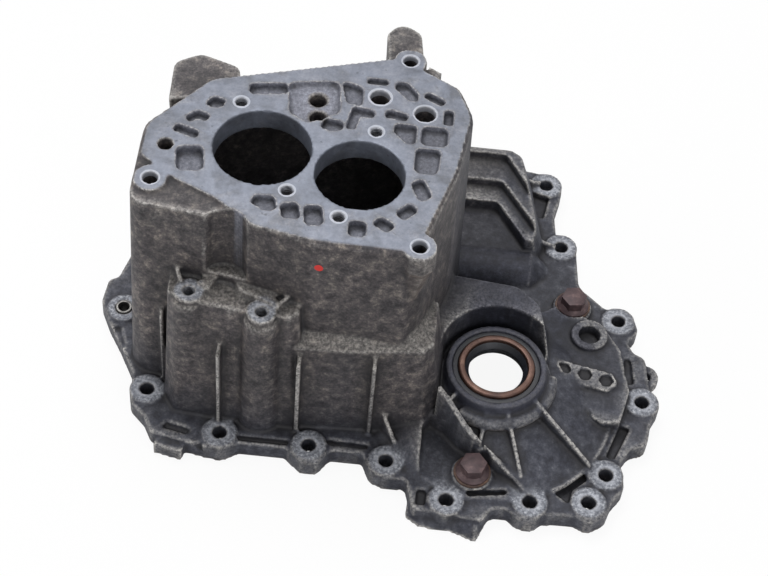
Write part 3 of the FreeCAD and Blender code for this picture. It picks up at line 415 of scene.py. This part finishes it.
for places, reach in BRIGHT_RIMS:
    for px, py in places:
        away = add(tree, "ShaderNodeVectorMath", {0: place, 1: (px / 1000, py / 1000, END_FACE_Z)},
                   operation="DISTANCE").outputs["Value"]
        ring = add(tree, "ShaderNodeMath", {0: away, 1: reach}, operation="LESS_THAN").outputs[0]
        ring = add(tree, "ShaderNodeMath", {0: ring, 1: RIM_STRENGTH}, operation="MULTIPLY").outputs[0]
        skin = add(tree, "ShaderNodeMix", {0: ring, 6: skin, 7: linear("B4B8C2")}, data_type="RGBA").outputs[2]
# A dab of red marking paint on the front wall, with a ragged edge.
away = add(tree, "ShaderNodeVectorMath", {0: place, 1: PAINT_DAB}, operation="DISTANCE").outputs["Value"]
ragged = add(tree, "ShaderNodeMath", {0: noises["fine"], 1: PAINT_RAGGED}, operation="MULTIPLY").outputs[0]
away = add(tree, "ShaderNodeMath", {0: away, 1: ragged}, operation="ADD").outputs[0]
dab = add(tree, "ShaderNodeMath", {0: away, 1: PAINT_REACH}, operation="LESS_THAN").outputs[0]
skin = add(tree, "ShaderNodeMix", {0: dab, 6: skin, 7: linear("C8322E")}, data_type="RGBA").outputs[2]
tree.links.new(skin, shader.inputs["Base Color"])
shader.inputs["Metallic"].default_value = 0.35
rough = add(tree, "ShaderNodeMix", {0: marks["machined"], 6: (*[CAST_ROUGHNESS] * 3, 1),
                                    7: (*[MACHINED_ROUGHNESS] * 3, 1)}, data_type="RGBA").outputs[2]
tree.links.new(rough, shader.inputs["Roughness"])
# The cast grain stands up a little; the machined faces are flat.
grain = add(tree, "ShaderNodeMath", {0: noises["fine"], 1: 0.6}, operation="MULTIPLY").outputs[0]
pits = add(tree, "ShaderNodeMath", {0: noises["pits"], 1: 0.8}, operation="MULTIPLY").outputs[0]
relief = add(tree, "ShaderNodeMath", {0: grain, 1: pits}, operation="ADD").outputs[0]
cast_only = add(tree, "ShaderNodeMath", {0: 1.0, 1: marks["machined"]}, operation="SUBTRACT").outputs[0]
relief = add(tree, "ShaderNodeMath", {0: relief, 1: cast_only}, operation="MULTIPLY").outputs[0]
bump = add(tree, "ShaderNodeBump", {"Height": relief, "Strength": 0.75, "Distance": 0.0009})
tree.links.new(bump.outputs["Normal"], shader.inputs["Normal"])
mesh.materials.clear()
mesh.materials.append(cast_skin)
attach(casting, "root")
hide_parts("housing_casting")

# ---------------------------------------------------------------------------
# Thread turns: the M10 threads cut into the end face and the shift housing,
# one winding of metal in each drilled hole, all from one node group.
# ---------------------------------------------------------------------------
# Sizes of the M10 thread in metres: pitch, depth, radius of the drilled hole and half height of a ridge.
THREAD_PITCH = 0.0015
THREAD_DEPTH = 0.0165
THREAD_RADIUS = 0.0042
THREAD_RIDGE = 0.00045
THREAD_SUNK = 0.001
SHIFT_FACE_Z = 0.139
TURN_STEPS = 28
RIDGE_SIDES = 4


def mottled(name, across, detail, rough, stops, metallic, roughness, relief=None):
    """A material coloured along one noise with blobs in mm; relief is mm, detail, strength and height."""
    material, tree, shader, place = new_material(name)
    mottle = add(tree, "ShaderNodeTexNoise", {"Vector": place, "Scale": blobs(across), "Detail": detail,
                                              "Roughness": rough, "Distortion": 0.0}).outputs["Fac"]
    tint = add(tree, "ShaderNodeValToRGB", {"Fac": mottle}, stops).outputs["Color"]
    tree.links.new(tint, shader.inputs["Base Color"])
    shader.inputs["Metallic"].default_value = metallic
    shader.inputs["Roughness"].default_value = roughness
    if relief:
        across, detail, strength, height = relief
        grain = add(tree, "ShaderNodeTexNoise", {"Vector": place, "Scale": blobs(across), "Detail": detail,
                                                 "Roughness": 0.55, "Distortion": 0.0}).outputs["Fac"]
        bump = add(tree, "ShaderNodeBump", {"Height": grain, "Strength": strength, "Distance": height})
        tree.links.new(bump.outputs["Normal"], shader.inputs["Normal"])
    return material


# Freshly cut aluminium gone dull: a mottled grey.
cut_thread = mottled("cut_thread_aluminium", 2, 4, 0.55, [(0.35, "55575E"), (0.65, "9A9CA3")], 0.5, 0.45)
turns = bpy.data.node_groups.new("thread_turns", "GeometryNodeTree")
turns.interface.new_socket("Geometry", in_out="INPUT", socket_type="NodeSocketGeometry")
inputs = {}
for label, kind in (("Hole Radius", "NodeSocketFloat"), ("Pitch", "NodeSocketFloat"),
                    ("Depth", "NodeSocketFloat"), ("Ridge", "NodeSocketFloat"),
                    ("Metal", "NodeSocketMaterial")):
    inputs[label] = turns.interface.new_socket(label, in_out="INPUT", socket_type=kind)
turns.interface.new_socket("Geometry", in_out="OUTPUT", socket_type="NodeSocketGeometry")
entry = add(turns, "NodeGroupInput")
rounds = add(turns, "ShaderNodeMath", {0: entry.outputs["Depth"], 1: entry.outputs["Pitch"]},
             operation="DIVIDE").outputs[0]
winding = add(turns, "GeometryNodeCurveSpiral", {
    "Resolution": TURN_STEPS, "Rotations": rounds, "Start Radius": entry.outputs["Hole Radius"],
    "End Radius": entry.outputs["Hole Radius"], "Height": entry.outputs["Depth"]}).outputs["Curve"]
section = add(turns, "GeometryNodeCurvePrimitiveCircle", {"Resolution": RIDGE_SIDES,
                                                          "Radius": entry.outputs["Ridge"]}).outputs["Curve"]
ridge = add(turns, "GeometryNodeCurveToMesh", {"Curve": winding, "Profile Curve": section}).outputs["Mesh"]
copies = add(turns, "GeometryNodeInstanceOnPoints", {"Points": entry.outputs["Geometry"], "Instance": ridge})
real = add(turns, "GeometryNodeRealizeInstances", {"Geometry": copies.outputs["Instances"]})
metal = add(turns, "GeometryNodeSetMaterial", {"Geometry": real.outputs["Geometry"],
                                               "Material": entry.outputs["Metal"]})
add(turns, "NodeGroupOutput", {"Geometry": metal.outputs["Geometry"]})
feet = [(px / 1000, py / 1000, END_FACE_Z - THREAD_DEPTH - THREAD_SUNK) for px, py in THREADS]
feet += [(px / 1000, py / 1000, SHIFT_FACE_Z - THREAD_DEPTH - THREAD_SUNK) for px, py in SHIFT_BOSSES]
thread_mesh = bpy.data.meshes.new("thread_turns")
thread_mesh.from_pydata(feet, [], [])
threads = bpy.data.objects.new("thread_turns", thread_mesh)
bpy.context.scene.collection.objects.link(threads)
grown = threads.modifiers.new("Turns", "NODES")
grown.node_group = turns
for label, value in (("Hole Radius", THREAD_RADIUS), ("Pitch", THREAD_PITCH), ("Depth", THREAD_DEPTH),
                     ("Ridge", THREAD_RIDGE), ("Metal", cut_thread)):
    grown[inputs[label].identifier] = value
applied(threads)
threads.data.shade_smooth()
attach(threads, "root")

# ---------------------------------------------------------------------------
# Drive shaft seal: a pressed steel ring, lacquered and browned by heat, in a
# rubber jacket pressed into the nose, with a black rubber lip inside.
# ---------------------------------------------------------------------------
# How far each edge is broken, in metres, and how: rounds of the bevel and the angles in degrees.
RING_EDGE, RUBBER_EDGE, CUP_EDGE = 0.0007, 0.0004, 0.0005
EDGE_SEGMENTS = 3
EDGE_ANGLE = 30
SHARP_ANGLE = 40


def softened(name, node, material, width):
    """A piece in place of a CAD node, with its edges broken."""
    piece = merged_copy(name, node)
    modifier(piece, "BEVEL", width=width, segments=EDGE_SEGMENTS, limit_method="ANGLE",
             angle_limit=math.radians(EDGE_ANGLE), harden_normals=False)
    applied(piece)
    piece.data.shade_smooth()
    piece.data.set_sharp_from_angle(angle=math.radians(SHARP_ANGLE))
    piece.data.materials.clear()
    piece.data.materials.append(material)
    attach(piece, "root")
    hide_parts(node)


# Pressed steel with a brown oil lacquer, smooth, with a soft pinkish sheen.
ring_steel = mottled("lacquered_seal_steel", 8, 5, 0.6, [(0.3, "3A2A26"), (0.55, "5A4239"), (0.75, "7C6255")],
                     0.6, 0.38, (2, 4, 0.2, 0.0003))
softened("seal_ring", "seal_case", ring_steel, RING_EDGE)
# Moulded nitrile rubber: near black, matt, a little dusty.
seal_rubber = mottled("nitrile_rubber_black", 6, 6, 0.65, [(0.35, "131419"), (0.6, "1D1F26"), (0.8, "3A3C44")],
                      0.0, 0.5)
softened("seal_rubber_jacket", "seal_jacket", seal_rubber, RUBBER_EDGE)
softened("seal_rubber_lip", "seal_lip", seal_rubber, RUBBER_EDGE)
# Ground bearing steel, oily and slightly browned.
cup_steel = mottled("bearing_steel_ground", 5, 4, 0.55, [(0.35, "55565A"), (0.65, "8A8B8E")], 0.85, 0.34)
softened("bearing_cup", "differential_bearing_cup", cup_steel, CUP_EDGE)

# ---------------------------------------------------------------------------
# Side bolts and washers: forged M10 hexagon screws with a collar, gone brown
# with rust, each on a loose steel washer.
# ---------------------------------------------------------------------------
SCREW_EDGE, WASHER_EDGE = 0.0007, 0.0004
# Forged steel under a thin even rust: a mottled purple brown, lighter and pinker in patches.
rusty_steel = mottled("forged_steel_rusted", 4, 6, 0.66, [(0.3, "33272A"), (0.55, "4E3D3F"), (0.75, "75605E")],
                      0.3, 0.52, (1.2, 5, 0.4, 0.0004))
# Plain steel washer with orange-brown rust.
washer_rust = mottled("washer_steel_rusted", 3, 6, 0.66, [(0.3, "2E2320"), (0.55, "4F3A30"), (0.75, "7A5C48")],
                      0.2, 0.6)
for height in ("upper", "lower"):
    softened(f"{height}_screw", f"side_bolt_{height}", rusty_steel, SCREW_EDGE)
    softened(f"{height}_washer", f"side_bolt_{height}_washer", washer_rust, WASHER_EDGE)

# ---------------------------------------------------------------------------
# Locating sleeve: a tube of spring steel, split along its side, pressed into
# the left lobe of the flange to place the neighbouring case.
# ---------------------------------------------------------------------------
SLEEVE_EDGE = 0.0004
# Dull spring steel with oily dirt.
sleeve_steel = mottled("spring_steel_dull", 3, 5, 0.55, [(0.3, "3C3B3B"), (0.7, "8B8986")], 0.8, 0.42)
softened("locating_sleeve", "dowel_sleeve", sleeve_steel, SLEEVE_EDGE)

# ---------------------------------------------------------------------------
# Floor, lamps and camera: a white paper sheet under three soft boxes, with a
# white room round it that only the camera and the reflections see as bright.
# ---------------------------------------------------------------------------
FLOOR_REACH = 6.0
FLOOR_DROP = 0.0005
PAPER_WHITE = (0.86, 0.86, 0.86, 1)
LIGHT = (1, 1, 1, 1)
FLOOR_GLOW = 0.92
SKY_STRENGTH = 0.42
floor_mesh = bpy.data.meshes.new("floor")
floor_mesh.from_pydata([(-FLOOR_REACH, -FLOOR_REACH, 0), (FLOOR_REACH, -FLOOR_REACH, 0),
                        (FLOOR_REACH, FLOOR_REACH, 0), (-FLOOR_REACH, FLOOR_REACH, 0)], [], [(0, 1, 2, 3)])
floor = bpy.data.objects.new("floor", floor_mesh)
floor.location.z = cad_box[0][2] - FLOOR_DROP
bpy.context.scene.collection.objects.link(floor)
paper, tree, shader, place = new_material("paper_floor")
shader.inputs["Base Color"].default_value = PAPER_WHITE
shader.inputs["Roughness"].default_value = 0.9
rays = add(tree, "ShaderNodeLightPath")
glow = add(tree, "ShaderNodeEmission", {"Color": LIGHT, "Strength": 1.0})
direct = add(tree, "ShaderNodeMath", {0: rays.outputs["Is Camera Ray"], 1: rays.outputs["Is Transmission Ray"]},
             operation="MAXIMUM").outputs[0]
seen = add(tree, "ShaderNodeMath", {0: direct, 1: FLOOR_GLOW}, operation="MULTIPLY").outputs[0]
blend = add(tree, "ShaderNodeMixShader", {0: seen, 1: shader.outputs["BSDF"], 2: glow.outputs["Emission"]})
output = next(node for node in tree.nodes if node.type == "OUTPUT_MATERIAL")
tree.links.new(blend.outputs[0], output.inputs["Surface"])
floor_mesh.materials.append(paper)

world = bpy.data.worlds.new("studio")
bpy.context.scene.world = world
world.use_nodes = True
tree = world.node_tree
tree.nodes.clear()
sky = add(tree, "ShaderNodeBackground", {"Color": LIGHT, "Strength": SKY_STRENGTH})
white = add(tree, "ShaderNodeBackground", {"Color": LIGHT, "Strength": 1.0})
rays = add(tree, "ShaderNodeLightPath")
direct = rays.outputs["Is Camera Ray"]
for ray in ("Is Glossy Ray", "Is Transmission Ray"):
    direct = add(tree, "ShaderNodeMath", {0: direct, 1: rays.outputs[ray]}, operation="MAXIMUM").outputs[0]
pick = add(tree, "ShaderNodeMixShader", {0: direct, 1: sky.outputs[0], 2: white.outputs[0]})
add(tree, "ShaderNodeOutputWorld", {"Surface": pick.outputs[0]})


def lamp(name, place, aim, power, size):
    """A square soft box aimed at a point."""
    light = bpy.data.lights.new(name, "AREA")
    light.energy = power
    light.size = size
    holder = bpy.data.objects.new(name, light)
    holder.location = place
    holder.rotation_euler = (Vector(aim) - Vector(place)).to_track_quat("-Z", "Y").to_euler()
    bpy.context.scene.collection.objects.link(holder)


lamp("top_box", (-0.2, 0.45, 1.5), (-0.03, 0, 0.1), 15, 0.8)
lamp("left_box", (-1.3, -0.2, 0.9), (0, 0, 0.08), 4.5, 0.8)
lamp("front_box", (0.7, -1.3, 0.9), (0, 0, 0.06), 7, 0.8)

# Camera in metres and radians; the lens is given as its focal length over the width of the sensor.
CAMERA_PLACE = Vector((-0.0021, -0.877, 1.1774))
CAMERA_PITCH = 0.9043
CAMERA_ROLL = -0.1004
SENSOR_WIDTH = 36
LENS_RATIO = 1900 / 768
forward = Vector((0, math.cos(CAMERA_PITCH), -math.sin(CAMERA_PITCH)))
level = Vector((1, 0, 0))
down = forward.cross(level)
right = level * math.cos(CAMERA_ROLL) + down * math.sin(CAMERA_ROLL)
lower = down * math.cos(CAMERA_ROLL) - level * math.sin(CAMERA_ROLL)
turn = Matrix((right, -lower, -forward)).transposed()
lens = bpy.data.cameras.new("camera")
lens.sensor_width = SENSOR_WIDTH
lens.lens = LENS_RATIO * SENSOR_WIDTH
camera = bpy.data.objects.new("camera", lens)
camera.matrix_world = Matrix.Translation(CAMERA_PLACE) @ turn.to_4x4()
bpy.context.scene.collection.objects.link(camera)
bpy.context.scene.camera = camera
bpy.context.scene.view_settings.view_transform = "Standard"
